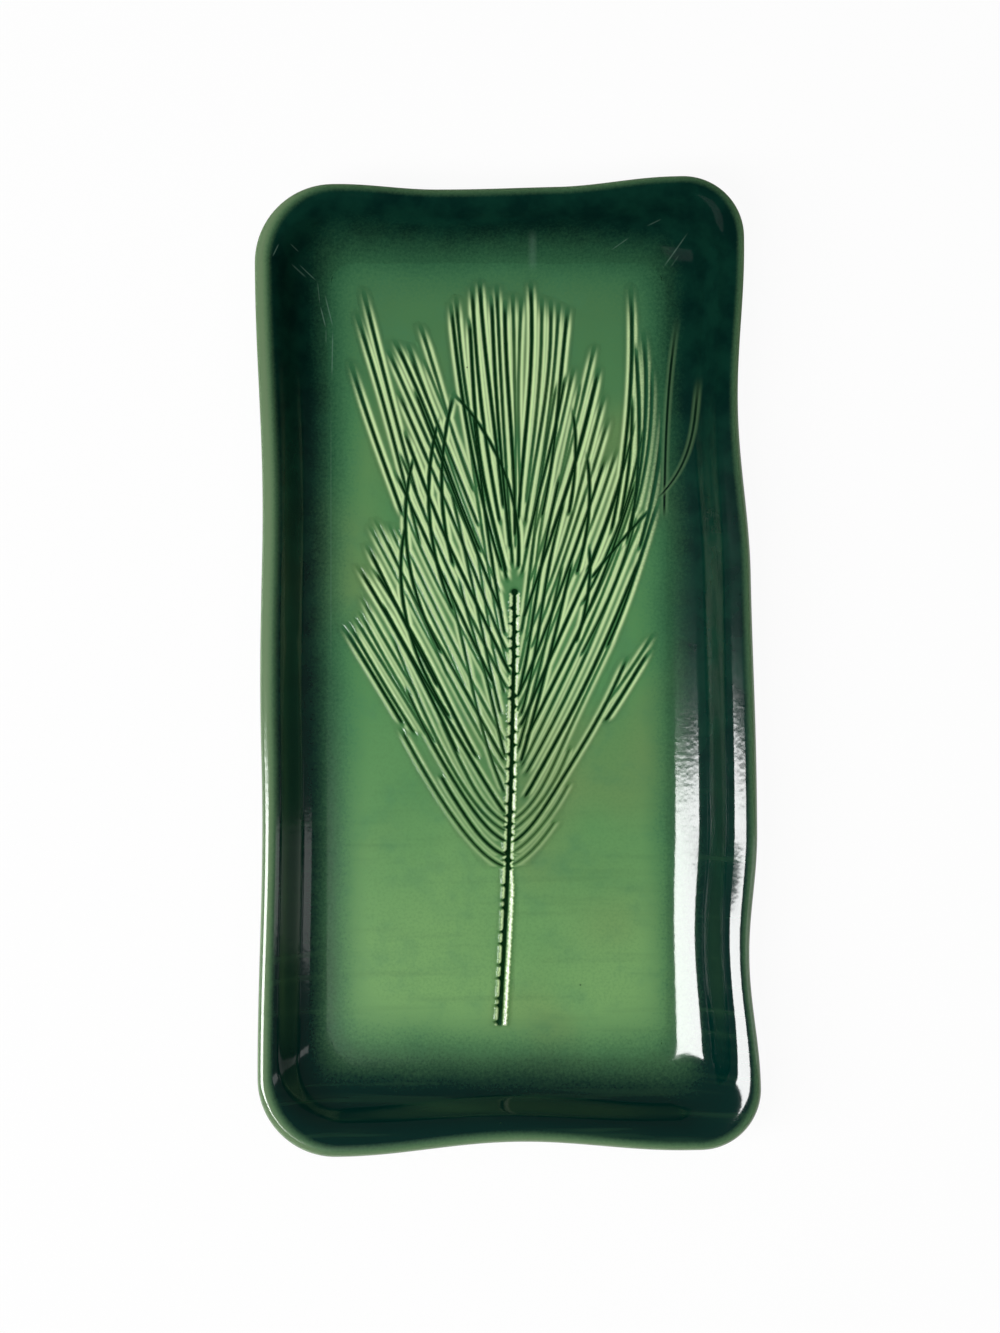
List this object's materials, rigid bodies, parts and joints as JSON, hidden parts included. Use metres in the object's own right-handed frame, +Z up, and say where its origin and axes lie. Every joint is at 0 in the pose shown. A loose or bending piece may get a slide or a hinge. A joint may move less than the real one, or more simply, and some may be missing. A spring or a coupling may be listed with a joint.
{
  "type": "rectangular ceramic tray",
  "caption": "Hand-built rectangular ceramic tray with flared sides, drawn-out corners and a low foot, green glazed, with the print of a pine sprig on its floor.",
  "frame": {"origin": "on the table, under the middle of the tray's overall rectangle", "axes": "+Z up out of the tray, +Y along its length towards the tips of the sprig's needles, +X to the right"},
  "size_m": [0.191, 0.37, 0.028],
  "materials": {
    "clay_body": "matte",
    "green_glaze": "gloss",
    "dark_glaze": "gloss",
    "pale_glaze": "gloss"
  },
  "bodies": {
    "root": {"floor_slab": "clay_body", "rim_wall": "clay_body", "foot_ring": "clay_body", "well_glaze": "green_glaze", "wall_glaze": "dark_glaze", "lip_glaze": "pale_glaze", "outside_glaze": "pale_glaze", "underside_glaze": "pale_glaze"}
  },
  "joints": []
}
